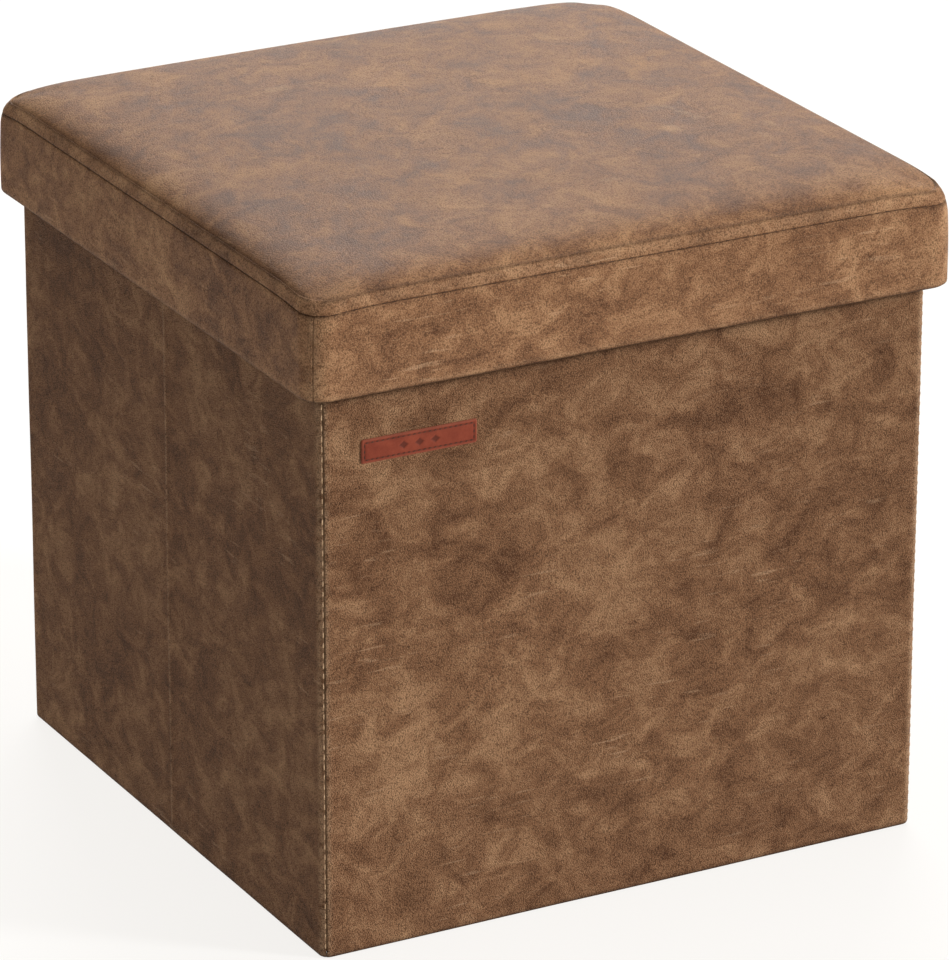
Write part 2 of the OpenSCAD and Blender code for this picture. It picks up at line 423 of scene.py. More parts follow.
def fibreboard(name, dark, light):
    """Pressed wood fibre, with short pale and dark fibres."""
    s = Shader(name)
    place = s.own()
    fibres = s.noise(s.stretch(place, (260.0, 900.0, 700.0), (0.2, 0.5, 0.9)), 1.0, 5.0, 0.7)
    specks = s.cells(place, 520.0)
    cloud = s.noise(place, 30.0, 3.0)
    tone = s.plus(s.times(fibres, 0.6), s.times(cloud, 0.4))
    colour = s.ramp(tone, [(0.34, dark), (0.66, light)])
    colour = s.mix(s.map(specks, 0.0, 0.18, 0.5, 0.0), colour, dark)
    normal = s.bump(s.plus(fibres, specks), 0.1 * MM, 0.7)
    return s.finish(colour, s.map(fibres, 0.3, 0.7, 0.7, 0.9), normal, 0.3)


def staple_steel():
    """Galvanised staple wire, faintly brushed along its length."""
    s = Shader("staple_wire")
    place = s.own()
    brushed = s.noise(s.stretch(place, (400.0, 4000.0, 4000.0)), 1.0, 3.0)
    colour = s.ramp(brushed, [(0.3, srgb(150, 152, 154)), (0.7, srgb(205, 206, 208))])
    s.surface.inputs["Metallic"].default_value = 1.0
    return s.finish(colour, s.map(brushed, 0.3, 0.7, 0.28, 0.45), s.bump(brushed, 0.02 * MM), 0.5)


def seat_foam():
    """Open-cell polyurethane foam."""
    s = Shader("cream_foam")
    place = s.rest()
    pores = s.cells(place, 900.0)
    tone = s.noise(place, 40.0, 4.0)
    colour = s.ramp(tone, [(0.3, srgb(214, 202, 170)), (0.7, srgb(238, 230, 208))])
    colour = s.mix(s.map(pores, 0.1, 0.5, 0.35, 0.0), colour, srgb(150, 136, 104))
    normal = s.bump(pores, 0.4 * MM, 0.9)
    return s.finish(colour, s.map(pores, 0.1, 0.6, 0.9, 0.75), normal, 0.2)


def ribbon_weave():
    """Dark woven tape with fine cross ribs and a denser edge."""
    s = Shader("ribbon_weave")
    place = s.rest()
    ribs = s.bands(place, 330.0, "Y")
    yarns = s.bands(place, 520.0, "X")
    weave = s.plus(ribs, s.times(yarns, 0.6))
    tone = s.plus(s.times(weave, 0.25), s.times(s.noise(place, 300.0, 3.0), 0.5))
    colour = s.ramp(tone, [(0.2, srgb(28, 22, 20)), (0.8, srgb(74, 60, 52))])
    normal = s.bump(weave, 0.1 * MM, 0.8)
    s.surface.inputs["Sheen Weight"].default_value = 0.4
    return s.finish(colour, s.map(weave, 0.2, 1.4, 0.75, 0.5), normal, 0.3)


BODY_LEATHER = leather("body_leather_look", (0.37, 0.21, 0.68), 0.03, 0.75 * MM, (1.16, 1.2, 1.27, 1.0))
LID_LEATHER = leather("lid_leather_look", (1.43, 0.82, 0.15), 0.06, 0.35 * MM, (1.42, 1.46, 1.5, 1.0))
SEAT_LEATHER = leather("seat_leather_look", (1.43, 0.82, 0.15), 0.19, 0.2 * MM, (1.3, 1.3, 1.26, 1.0))
PATCH_LEATHER = patch_leather()
SEAM_THREAD = thread("tan_thread", srgb(216, 182, 144), srgb(166, 130, 98))
DARK_THREAD = thread("dark_thread", srgb(84, 56, 40), srgb(46, 30, 22))
LINING = nonwoven("lining_look", srgb(24, 22, 21), srgb(62, 57, 53))
WALL_BOARD = fibreboard("wall_board_look", srgb(138, 104, 66), srgb(196, 160, 112))
RIBBON = ribbon_weave()
FOAM = seat_foam()
STEEL = staple_steel()


# ---- mesh helpers ----

def new_piece(name, points, faces, material):
    mesh = bpy.data.meshes.new(name)
    mesh.from_pydata([tuple(p) for p in points], [], faces)
    mesh.validate()
    mesh.materials.append(material)
    return add_object(name, mesh)


def spread(low, high, steps):
    """Evenly spaced places from low to high."""
    return [low + (high - low) * i / steps for i in range(steps + 1)]


def arc(across, up, radius, start, stop, steps):
    """Points round a centre, at angles in degrees from straight up."""
    angles = [math.radians(degrees) for degrees in spread(start, stop, steps)]
    return [(across + radius * math.sin(angle), up + radius * math.cos(angle)) for angle in angles]


def grid(first, second, point):
    """Rows of points, one for each pair of places."""
    return [[point(a, b) for b in second] for a in first]


def unit(vectors):
    return vectors / (np.linalg.norm(vectors, axis=2, keepdims=True) + 1e-12)


def rim_faces(rows, columns, flip=False):
    """Quads that join the edges of two grids of points, numbered one after the other."""
    count = rows * columns
    edge = [i * columns for i in range(rows)]
    edge += [(rows - 1) * columns + j for j in range(1, columns)]
    edge += [i * columns + columns - 1 for i in range(rows - 2, -1, -1)]
    edge += list(range(columns - 2, 0, -1))
    sides = [(b + count, a + count, a, b) for a, b in zip(edge, edge[1:] + edge[:1])]
    return [side[::-1] for side in sides] if flip else sides


def face_grid(rows, columns, first=0, flip=False):
    """Quads between points numbered row by row."""
    faces = []
    for i in range(rows - 1):
        for j in range(columns - 1):
            a = first + i * columns + j
            quad = (a, a + columns, a + columns + 1, a + 1)
            faces.append(quad[::-1] if flip else quad)
    return faces


def shell(name, face, thickness, material, flip=False):
    """A closed sheet: the grid of points is its visible face, and its back lies behind that."""
    face = np.array(face, float)
    rows, columns = face.shape[:2]
    normal = unit(np.cross(np.gradient(face, axis=0), np.gradient(face, axis=1)))
    back = face + normal * (thickness if flip else -thickness)
    points = np.concatenate([face.reshape(-1, 3), back.reshape(-1, 3)])
    faces = face_grid(rows, columns, 0, flip) + face_grid(rows, columns, rows * columns, not flip)
    return new_piece(name, points, faces + rim_faces(rows, columns, flip), material)


def bars(name, many, material):
    """Closed bars, each through a row of closed sections with the same number of points."""
    points, faces = [], []
    for sections in many:
        ring = len(sections[0])
        first = len(points)
        points += [p for section in sections for p in section]
        last = len(points) - ring
        for i in range(first, last, ring):
            for j in range(ring):
                a, b = i + j, i + (j + 1) % ring
                faces.append((a, b, b + ring, a + ring))
        faces.append(tuple(range(first + ring - 1, first - 1, -1)))
        faces.append(tuple(range(last, last + ring)))
    return new_piece(name, points, faces, material)


def finish_piece(piece, sharp=40.0, wear_and_highlight=None, painted_shade=None):
    """Outward faces, smooth shading, and on each point its place at rest, its wear and painted highlight,
    and its painted shade.
    """
    mesh = piece.data
    work = bmesh.new()
    work.from_mesh(mesh)
    bmesh.ops.recalc_face_normals(work, faces=work.faces)
    work.to_mesh(mesh)
    work.free()
    mesh.polygons.foreach_set("use_smooth", [True] * len(mesh.polygons))
    mesh.set_sharp_from_angle(angle=math.radians(sharp))
    co = np.zeros(len(mesh.vertices) * 3, np.float32)
    mesh.vertices.foreach_get("co", co)
    mesh.attributes.new("rest", "FLOAT_VECTOR", "POINT").data.foreach_set("vector", co)
    for name, amount in (("wear_and_highlight", wear_and_highlight), ("painted_shade", painted_shade)):
        values = [0.0] * len(mesh.vertices)
        if amount is not None:
            values = [min(1.0, max(0.0, amount(*p))) for p in co.reshape(-1, 3).tolist()]
        mesh.attributes.new(name, "FLOAT", "POINT").data.foreach_set("value", values)
    return piece


def bell(distance, width):
    """1 at no distance, falling smoothly to 0 past the width."""
    return math.exp(-(distance / width) ** 2)


def wave(x, y, z, cycles, height):
    """A smooth swell in space, the same on pieces that meet."""
    return height * noise.noise(Vector((x, y, z)) * cycles)


def roll(distance, radius):
    """How far leather dips where it turns into a seam at that distance."""
    if distance >= radius:
        return 0.0
    return radius - math.sqrt(radius ** 2 - (radius - distance) ** 2)


def stations(start, stop, features, fine, coarse, growth=0.3):
    """Places from start to stop, close together near the features."""
    places = [start]
    while places[-1] < stop:
        gap = min(max(0.0, low - places[-1], places[-1] - high) for low, high in features)
        places.append(places[-1] + min(coarse, fine + growth * gap))
    places[-1] = stop
    if len(places) > 2 and stop - places[-2] < fine / 2:
        places.pop(-2)
    return places


# ---- places on the box and the lid ----

def turned(x, y, turns):
    """A point turned by quarter turns, anticlockwise from above."""
    for _ in range(turns % 4):
        x, y = -y, x
    return x, y


def outline(half, radius, length):
    """Point and outward direction on a rounded square, at a length from the middle of its front."""
    straight = half - radius
    quarter = quarter_length(half, radius)
    turns = math.floor((length + straight) / quarter)
    along = length + straight - turns * quarter
    place, out = (along - straight, -half), (0.0, -1.0)
    if along > 2 * straight:
        angle = (along - 2 * straight) / radius
        out = (math.sin(angle), -math.cos(angle))
        place = (straight + radius * out[0], -straight + radius * out[1])
    return turned(*place, turns), turned(*out, turns)


def on_body(length, inset, z):
    (x, y), (out_x, out_y) = outline(HALF, CORNER_R, length)
    return (x - out_x * inset, y - out_y * inset, z)


def on_wall(turns, along, inset, z):
    """Point of a flat wall: along it, in from its outer plane, and up."""
    return (*turned(along, inset - HALF, turns), z)


def corner_distance(x, y, half, radius):
    """Distance from the middle of the nearest rounded corner."""
    middle = half - radius * (1 - math.sqrt(0.5))
    return math.hypot(abs(x) - middle, abs(y) - middle)


def round_corner(x, y, half_x, half_y, radius):
    """Moves a point of a rectangle's edge onto its rounded corner."""
    over_x, over_y = abs(x) - (half_x - radius), abs(y) - (half_y - radius)
    if over_x <= 0 or over_y <= 0:
        return x, y
    reach = max(over_x, over_y) / math.hypot(over_x, over_y)
    new_x, new_y = half_x - radius + over_x * reach, half_y - radius + over_y * reach
    return math.copysign(new_x, x), math.copysign(new_y, y)


# ---- leather of the box ----

def body_swell(x, y, z):
    """Leather over board is nearly flat, with a faint unevenness."""
    return wave(x, y, z, 11.0, 0.22 * MM) + wave(y, z, x, 34.0, 0.07 * MM)


# Inset and height of the leather's bottom edge, from under the wall up to its outer plane
BOTTOM_CURL = [(x * MM, z * MM) for x, z in ((2.0, 0.02), (1.2, 0.15), (0.6, 0.5), (0.2, 1.1), (0.0, 2.0))]

# Lengths round the box between which its corners bend
BENDS = [(k * QUARTER + STRAIGHT, (k + 1) * QUARTER - STRAIGHT) for k in range(-3, 4)]


def wall_rows(low):
    """Inset and height from the bottom of the outer leather up over its top edge."""
    rows = [(3.0 * MM, 0.12 * MM)] + BOTTOM_CURL if low < HEM_Z else []
    upper = TOP - TOP_ROLL
    rows += [(0.0, z) for z in spread(HEM_Z, upper, 110)]
    rows += arc(TOP_ROLL, upper, TOP_ROLL, -75, 0, 5)
    return rows + [(TOP_ROLL + 0.7 * MM, TOP)]


def body_wear(x, y, z):
    """Rubbed corners and creases."""
    corner = bell(max(0.0, corner_distance(x, y, HALF, CORNER_R) - 1.6 * MM), 1.8 * MM)
    crease = 0.9 * bell(y, 1.0 * MM) if abs(x) > INNER else 0.0
    top = 0.5 * bell(TOP - z, 2.0 * MM)
    return max(corner, crease, top)


SEAM_PLACES = [outline(HALF, CORNER_R, k * QUARTER - SEAM_AT)[0] for k in range(4)]


def body_painted_shade(x, y, z):
    """Painted shade in the seams and along the turned-under bottom edge, and a thin painted shadow line
    just under the lid's skirt.
    """
    seam = 0.75 * bell(min(math.hypot(x - sx, y - sy) for sx, sy in SEAM_PLACES), 0.45 * MM)
    bottom = 0.85 * bell(max(0.0, z - 0.4 * MM), 1.6 * MM)
    # Painted shadow of the lid's skirt, on the wall just below it.
    skirt_shadow = 0.5 * bell(z - (SKIRT_Z - 4.4 * MM), 2.4 * MM)
    return max(bottom, skirt_shadow, seam)


def body_skin(name, start, stop, low, seams):
    """Outer leather between two lengths round the box, rolled in at the named seams."""
    places = [start + (SEAM_GAP if start in seams else 0), stop - (SEAM_GAP if stop in seams else 0)]
    features = BENDS + [(seam, seam) for seam in seams]

    def point(length, row):
        inset, z = row
        dip = max([roll(abs(length - seam), SEAM_ROLL) for seam in seams] or [0.0])
        return on_body(length, inset + dip + body_swell(*on_body(length, 0, z)), z)

    face = grid(stations(*places, features, 0.25 * MM, 5.0 * MM), wall_rows(low), point)
    piece = shell(name, face, SKIN_T, BODY_LEATHER)
    return finish_piece(piece, wear_and_highlight=body_wear, painted_shade=body_painted_shade)


def fold_rows(first_inset):
    """Inset and height from the top edge over and down inside the wall."""
    depth = HALF - INNER
    curl = 1.5 * MM
    rows = [(first_inset, TOP - 0.04 * MM), (first_inset + 1.6 * MM, TOP)]
    rows += arc(depth - curl, TOP - curl, curl, 0, 90, 6)
    rows += [(depth, z) for z in spread(TOP - curl, LIP_Z, 8)[1:-1]]
    return rows + [(depth, LIP_Z + 0.5 * MM), (depth - 0.4 * MM, LIP_Z + 0.1 * MM)]


def top_fold(name, turns, start, stop):
    """Leather over a wall's top edge and down inside it."""
    face = []
    for along in stations(start, stop, [(start, start), (stop, stop)], 0.8 * MM, 7.0 * MM):
        beyond = min(CORNER_R, max(0.0, abs(along) - STRAIGHT))
        edge = CORNER_R - math.sqrt(CORNER_R ** 2 - beyond ** 2)
        column = []
        for inset, z in fold_rows(min(edge + TOP_ROLL - 0.2 * MM, 4.0 * MM)):
            swell = wave(*on_wall(turns, along, inset, z), 24.0, 0.12 * MM)
            column.append(on_wall(turns, along, inset + swell, z))
        face.append(column)
    piece = shell(name, face, 0.7 * MM, BODY_LEATHER)
    return finish_piece(piece, wear_and_highlight=lambda x, y, z: 0.5 * bell(TOP - z, 1.5 * MM))


def hem_section(length, depth):
    """Section of the soft hem: leather turned under the wall's edge."""
    inner = [(depth - 0.6 * MM, 0.02 * MM), (depth, 0.6 * MM), (depth, HEM_Z)]
    rows = [(0.0, HEM_Z)] + BOTTOM_CURL[::-1] + inner
    return [on_body(length, inset + body_swell(*on_body(length, 0, z)), z) for inset, z in rows]


def hem(name, start, stop, body, node):
    """Soft hem under part of the wall, turned in less deeply near the bends."""
    sections = []
    for length in stations(start, stop, BENDS, 0.7 * MM, 6.0 * MM):
        away = min(max(0.0, low - length, length - high) for low, high in BENDS)
        depth = 4.6 * MM + min(2.9 * MM, away * 0.5)
        sections.append(hem_section(length, depth))
    piece = bars(name, [sections], BODY_LEATHER)
    finish_piece(piece, wear_and_highlight=body_wear, painted_shade=body_painted_shade)
    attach(piece, body)
    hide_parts(node)
    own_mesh(piece)


def end_wall(body, turns):
    """Leather of the front or back wall, wrapped round the corner on its right as seen from outside."""
    start = turns * QUARTER - SEAM_AT
    skin = body_skin(body + "_leather", start, start + QUARTER, HEM_Z, (start, start + QUARTER))
    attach(skin, body)
    fold = top_fold(body + "_top_fold", turns, -HALF + 1.9 * MM, HALF - 1.9 * MM)
    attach(fold, body)
    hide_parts(body + "_cover")
    hem(body + "_turned_hem", start, start + QUARTER, body, body + "_hem")


def side_half(body, turns, sign):
    """Leather of one half of a folding side wall."""
    middle = QUARTER if turns == 1 else -QUARTER
    near, far = sorted((middle + sign * CREASE, middle + sign * HINGE))
    skin = body_skin(body + "_leather", near, far, HEM_Z, ())
    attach(skin, body)
    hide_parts(body + "_cover")
    ends = sorted((sign * SIDE_GAP, sign * SIDE_END))
    fold = top_fold(body + "_top_fold", turns, *ends)
    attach(fold, body)
    near, far = sorted((middle + sign * 0.1 * MM, middle + sign * HINGE))
    hem(body + "_turned_hem", near, far, body, body + "_hem")


def corner_web(name, quarters, side):
    """Leather at a corner, from its seam round to the side wall's hinge line past its board's end."""
    x, y = side
    seam = quarters * QUARTER - SEAM_AT
    hinge = x * (QUARTER + y * HINGE)
    web = body_skin(name + "_leather", *sorted((seam, hinge)), 0.0, (seam,))
    near = (x * HALF, outline(HALF, CORNER_R, seam)[0][1], 0)
    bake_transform(web)
    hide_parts(name)


def crease_strip(name, middle):
    """Leather over the crease in the middle of a side wall, with a low worn ridge."""
    def point(length, row):
        inset, z = row
        ridge = 0.28 * MM * bell(length - middle, 0.7 * MM)
        return on_body(length, inset - ridge + body_swell(*on_body(length, 0, z)), z)

    face = grid(spread(middle - CREASE, middle + CREASE, 24), wall_rows(HEM_Z), point)
    piece = shell(name + "_leather", face, SKIN_T, BODY_LEATHER)
    finish_piece(piece, wear_and_highlight=body_wear, painted_shade=body_painted_shade)
    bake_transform(piece)
    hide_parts(name)


# ---- stitches ----

def centres(half, count):
    """Middles of equal parts of a line that reaches half its length to each side of 0."""
    return [-half + (i + 0.5) * 2 * half / count for i in range(count)]


def stitch(centre, along, out, length, radius, lift):
    """Rings of one stitch: a short thread that dives into the leather at both ends."""
    across = along.cross(out)
    rings = []
    for share in (-1.0, -0.85, -0.5, 0.0, 0.5, 0.85, 1.0):
        thin = radius * (0.3 if abs(share) == 1.0 else 1.0 - 0.25 * share ** 2)
        middle = centre + along * (share * length / 2) + out * (lift - 1.9 * radius * share ** 4)
        ring = []
        for k in range(8):
            angle = k * math.pi / 4
            ring.append(middle + across * (thin * math.cos(angle)) + out * (thin * math.sin(angle)))
        rings.append(ring)
    return rings


def stitch_row(name, places, material, length=STITCH_LENGTH, radius=THREAD_R, lift=0.0):
    """One mesh of many stitches, each given as centre, direction and outward direction."""
    many = [stitch(*map(Vector, place), length, radius, lift) for place in places]
    return finish_piece(bars(name, many, material), sharp=60.0)


def seam_stitches(name, seam, body):
    """Upright row beside a corner seam, on the leather that wraps the corner."""
    from_seam, first, last = 0.65 * MM, 7 * MM, TOP - 5 * MM
    length = seam - from_seam
    places = []
    for i in range(int((last - first) / STITCH_PITCH)):
        z = first + i * STITCH_PITCH
        x, y, _ = on_body(length, 0, z)
        inset = roll(from_seam, SEAM_ROLL) + body_swell(x, y, z)
        _, out = outline(HALF, CORNER_R, length)
        places.append((on_body(length, inset, z), UP, (*out, 0)))
    piece = stitch_row(name, places, SEAM_THREAD, lift=-0.02 * MM)
    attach(piece, body)


# ---- label ----

PATCH_LOW, PATCH_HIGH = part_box("label_patch")
PATCH_W, PATCH_T, PATCH_H = PATCH_HIGH - PATCH_LOW
PATCH_MIDDLE = (PATCH_LOW + PATCH_HIGH) / 2
PATCH_SEAM = 1.9 * MM  # stitched line, in from the patch's edge
LOZENGE_PITCH = 9 * MM
LOZENGE_W = 2.9 * MM
LOZENGE_H = 2.3 * MM


def label_patch():
    """Stitched leather patch, plain but for three small pressed lozenges."""
    step = 0.5 * MM

    def point(x, z):
        rise = patch_height(x, z)
        x, z = round_corner(x, z, PATCH_W / 2, PATCH_H / 2, 1.3 * MM)
        return PATCH_MIDDLE.x + x, PATCH_HIGH.y - rise, PATCH_MIDDLE.z + z

    def painted_shade(x, y, z):
        return patch_painted_shade(x - PATCH_MIDDLE.x, z - PATCH_MIDDLE.z)

    def wear_and_highlight(x, y, z):
        return bell(patch_edge(x - PATCH_MIDDLE.x, z - PATCH_MIDDLE.z), 0.8 * MM)

    across = spread(-PATCH_W / 2, PATCH_W / 2, round(PATCH_W / step))
    upward = spread(-PATCH_H / 2, PATCH_H / 2, round(PATCH_H / step))
    piece = shell("label_patch_leather", grid(across, upward, point), 0.5 * MM, PATCH_LEATHER)
    finish_piece(piece, sharp=60.0, wear_and_highlight=wear_and_highlight, painted_shade=painted_shade)
    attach(piece, "front")
    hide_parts("label_patch")


def patch_edge(x, z):
    """Distance in from the nearest edge of the patch, for a place given from its middle."""
    return min(PATCH_W / 2 - abs(x), PATCH_H / 2 - abs(z))


def lozenge(x, z):
    """1 inside one of the three pressed lozenges, 0 outside."""
    nearest = max(-1, min(1, round(x / LOZENGE_PITCH))) * LOZENGE_PITCH
    reach = abs(x - nearest) / LOZENGE_W + abs(z) / LOZENGE_H
    return max(0.0, min(1.0, (1.0 - reach) * 4))


def patch_height(x, z):
    """How far the patch stands out of the wall."""
    edge = max(0.0, patch_edge(x, z))
    curl = 0.7 * MM
    rounded = math.sqrt(1 - (1 - min(1.0, edge / curl)) ** 2)
    groove = 0.22 * MM * bell(edge - PATCH_SEAM, 0.5 * MM)
    pressed = 0.3 * MM * lozenge(x, z)
    return PATCH_T * (0.25 + 0.75 * rounded) - groove - pressed


def patch_painted_shade(x, z):
    # Painted shade: darker at the stitched groove and in the pressed lozenges.
    return max(0.45 * bell(patch_edge(x, z) - PATCH_SEAM, 0.45 * MM), 0.6 * lozenge(x, z))


def patch_stitches():
    """Dark stitches round the patch, inside its edge."""
    half_x, half_z = PATCH_W / 2 - PATCH_SEAM, PATCH_H / 2 - PATCH_SEAM
    face_y = PATCH_LOW.y + 0.1 * MM
    pitch = 2.9 * MM
    places = []
    for side in (-1, 1):
        for x in centres(half_x, round(2 * half_x / pitch)):
            place = (PATCH_MIDDLE.x + x, face_y, PATCH_MIDDLE.z + side * half_z)
            places.append((place, (1, 0, 0), (0, -1, 0)))
        for z in centres(half_z, round(2 * half_z / pitch)):
            place = (PATCH_MIDDLE.x + side * half_x, face_y, PATCH_MIDDLE.z + z)
            places.append((place, (0, 0, 1), (0, -1, 0)))
    piece = stitch_row("label_patch_stitches", places, DARK_THREAD,
                       length=2.1 * MM, radius=0.27 * MM, lift=-0.06 * MM)
    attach(piece, "front")


# ---- linings ----

def lining_panel(body, turns, start, stop):
    """Lining cloth glued inside a wall board, a little loose."""
    face_inset = HALF - INNER

    def point(along, z):
        x, y, _ = on_wall(turns, along, face_inset, z)
        edge = min(along - start, stop - along)
        sunk = 0.12 * MM + wave(x, y, z, 18.0, 0.14 * MM) + 0.4 * roll(edge, 0.5 * MM)
        return on_wall(turns, along, face_inset - max(0.0, sunk), z)

    places = stations(start, stop, [(start, start), (stop, stop)], 0.6 * MM, 6.0 * MM)
    face = grid(places, spread(HEM_Z, LIP_Z, 60), point)
    piece = shell(body + "_lining_cloth", face, 0.45 * MM, LINING, flip=True)
    finish_piece(piece)
    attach(piece, body)
    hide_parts(body + "_lining")


# ---- base ----

def wrapped_board(name, low, high):
    """A thin board wrapped in cloth, with rounded edges."""
    radius, swell = 0.9 * MM, 0.25 * MM
    size = high - low
    work = bmesh.new()
    bmesh.ops.create_grid(work, x_segments=40, y_segments=20, size=0.5)
    for v in work.verts:
        v.co = Vector((low.x + (v.co.x + 0.5) * size.x, low.y + (v.co.y + 0.5) * size.y, low.z))
    top = bmesh.ops.extrude_face_region(work, geom=list(work.faces))
    for v in top["geom"]:
        if isinstance(v, bmesh.types.BMVert):
            v.co.z = high.z
    bmesh.ops.recalc_face_normals(work, faces=work.faces)
    rim = [e for e in work.edges if e.is_manifold and e.calc_face_angle(0) > math.radians(60)]
    bmesh.ops.bevel(work, geom=rim, offset=radius, segments=3, profile=0.5, affect="EDGES")
    for v in work.verts:
        if v.co.z > (low.z + high.z) / 2:
            v.co.z -= abs(wave(v.co.x, v.co.y, v.co.z, 22.0, swell))
    mesh = bpy.data.meshes.new(name)
    work.to_mesh(mesh)
    work.free()
    mesh.materials.append(LINING)
    return finish_piece(add_object(name, mesh))


def base_panels():
    """The base's boards in their cloth, each with stitches beside the fold between them."""
    inset = 6 * MM
    for body, sign in (("base_rear", 1), ("base_front", -1)):
        low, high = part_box(body + "_board")
        piece = wrapped_board(body + "_wrapped_board", low, high)
        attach(piece, body)
        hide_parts(body + "_board")
        places = []
        for i in range(int((high.x - low.x - 2 * inset) / STITCH_PITCH)):
            x = low.x + inset + i * STITCH_PITCH
            places.append(((x, sign * inset, high.z - 0.1 * MM), (1, 0, 0), (0, 0, 1)))
        row = stitch_row(body + "_stitches", places, DARK_THREAD,
                         length=3.4 * MM, radius=0.2 * MM, lift=0.02 * MM)
        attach(row, body)


def base_sheet():
    """Thin cloth under the base, sewn along the back."""
    low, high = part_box("base_cloth")
    steps = 40

    def point(x, y):
        return x, y, high.z - 0.03 * MM - abs(wave(x, y, 0.3, 20.0, 0.08 * MM))

    face = grid(spread(low.x, high.x, steps), spread(low.y, high.y, steps), point)
    piece = shell("base_cloth_sheet", face, 0.22 * MM, LINING)
    finish_piece(piece)
    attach(piece, "back")
    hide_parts("base_cloth")
    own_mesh(piece)


def pull_ribbon():
    """A tape folded into a flat loop, sewn down by its two ends near the middle of the base."""
    low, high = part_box("base_ribbon")
    tape = 0.2 * MM
    fold = (high.z - low.z - tape) / 2
    sewn = high.y
    end = low.y + fold + tape
    middle_z = (low.z + high.z) / 2
    runs = 26
    line = [(y, -fold) for y in spread(sewn, end, runs)[:-1]]
    line += arc(end, 0, -fold, 0, 180, 9)
    line += [(y, fold) for y in spread(end, sewn, runs)[1:]]
    face = [[(x, y, middle_z + z) for y, z in line] for x in spread(low.x, high.x, 12)]
    piece = shell("pull_ribbon_loop", face, tape / 2, RIBBON)
    finish_piece(piece)
    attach(piece, "base_front")
    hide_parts("base_ribbon")
    places = []
    for side in (-1, 1):
        x = side * (high.x - 2.5 * MM)
        for i in range(5):
            y = sewn - (2.5 + 3 * i) * MM
            places.append(((x, y, high.z - 0.15 * MM), (0, 1, 0), (0, 0, 1)))
    for y in (sewn - 1.5 * MM, sewn - 16.5 * MM):
        for i in range(5):
            x = (i - 2) * 3 * MM
            places.append(((x, y, high.z - 0.15 * MM), (1, 0, 0), (0, 0, 1)))
    row = stitch_row("pull_ribbon_stitches", places, DARK_THREAD,
                     length=2.0 * MM, radius=0.16 * MM)
    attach(row, "base_front")


# ---- lid ----

LID_SIDE = LID_HALF - 1.1 * MM  # widest part of the skirt's leather
STITCH_Z = SEAM_Z - 7.5 * MM  # stitched line round the lid
TOP_SEAM_HALF = LID_HALF - 4.6 * MM  # seam between the rounded shoulder and the seat
TOP_SEAM_Z = SEAM_Z - 0.4 * MM
TOP_SEAM_R = 18.0 * MM
CORNER_DROOP = 2.4 * MM  # how far the seat's corners hang below its sides
DROOP_REACH = 22.0 * MM
GROOVE = 0.35 * MM
LINING_R = 15.5 * MM  # corners inside the lid, clear of its wooden rim


def droop(x, y):
    """1 at the lid's corners, falling to 0 along its sides."""
    corner = LID_HALF - 4 * MM
    return bell(math.hypot(abs(x) - corner, abs(y) - corner), DROOP_REACH)


def skirt_rows():
    """Half width, corner radius and height of rings from the top seam down, under the rim and up inside."""
    side = LID_SIDE
    over = [(-0.55, -0.55), (-0.25, -0.25), (0.1, -0.15), (0.55, -0.5)]
    rows = [(TOP_SEAM_HALF + out * MM, TOP_SEAM_R, TOP_SEAM_Z + up * MM) for out, up in over]
    shoulder = [(2.5, 17, 1.6), (1.9, 16, 2.9), (1.35, 15.5, 4.5), (1.0, 15, 6.0)]
    rows += [(side - inset * MM, radius * MM, TOP_SEAM_Z - down * MM) for inset, radius, down in shoulder]
    stitched = [(0.95, 15, 0.5), (0.95 + GROOVE / MM, 15, 0.12), (0.95 + GROOVE / MM, 15, -0.15)]
    stitched += [(0.75, 15, -0.6), (0.5, 14.5, -2.5)]
    rows += [(side - inset * MM, radius * MM, STITCH_Z + up * MM) for inset, radius, up in stitched]
    low = SKIRT_Z + 2.6 * MM
    for share, z in zip(spread(0, 1, 20), spread(STITCH_Z - 6 * MM, low, 20)):
        rows.append((side - 0.22 * MM * (2 * share - 1) ** 2, (14 - 2 * share) * MM, z))
    edge = 2.3 * MM
    for degrees in (20, 40, 60, 75, 90):
        angle = math.radians(degrees)
        half = side - 0.22 * MM - edge * (1 - math.cos(angle))
        rows.append((half, LID_R, low - 2.5 * MM * math.sin(angle)))
    curl = 1.0 * MM
    inside = [(curl, SKIRT_Z + 0.05 * MM), (0.4 * MM, SKIRT_Z + 0.3 * MM)]
    inside += [(0, z) for z in spread(SKIRT_Z + curl, LID_LIP_Z, 5)[:-1]]
    inside += [(0.1 * MM, LID_LIP_Z - 0.3 * MM), (0.5 * MM, LID_LIP_Z)]
    return rows + [(LID_INNER + out, LINING_R, z) for out, z in inside]


def lid_ring_point(share, half, radius, z, inset=0.0):
    """Point of a ring round the lid, at a share of its quarter turns from the middle of the front."""
    (x, y), (out_x, out_y) = outline(half, radius, share * quarter_length(half, radius))
    sunk = max(0.0, min(1.0, (z - SKIRT_Z - 15 * MM) / (TOP_SEAM_Z - SKIRT_Z - 15 * MM)))
    fall = CORNER_DROOP * droop(x, y) * sunk
    return (x - out_x * inset, y - out_y * inset, z - fall)


def lid_ripple(x, y, z):
    """Faint unevenness of the skirt, gone at the top seam."""
    ripple = wave(x, y, z, 15.0, 0.3 * MM) + wave(x, y, z, 45.0, 0.08 * MM)
    return ripple * min(1.0, max(0.0, TOP_SEAM_Z - z) / (12 * MM))


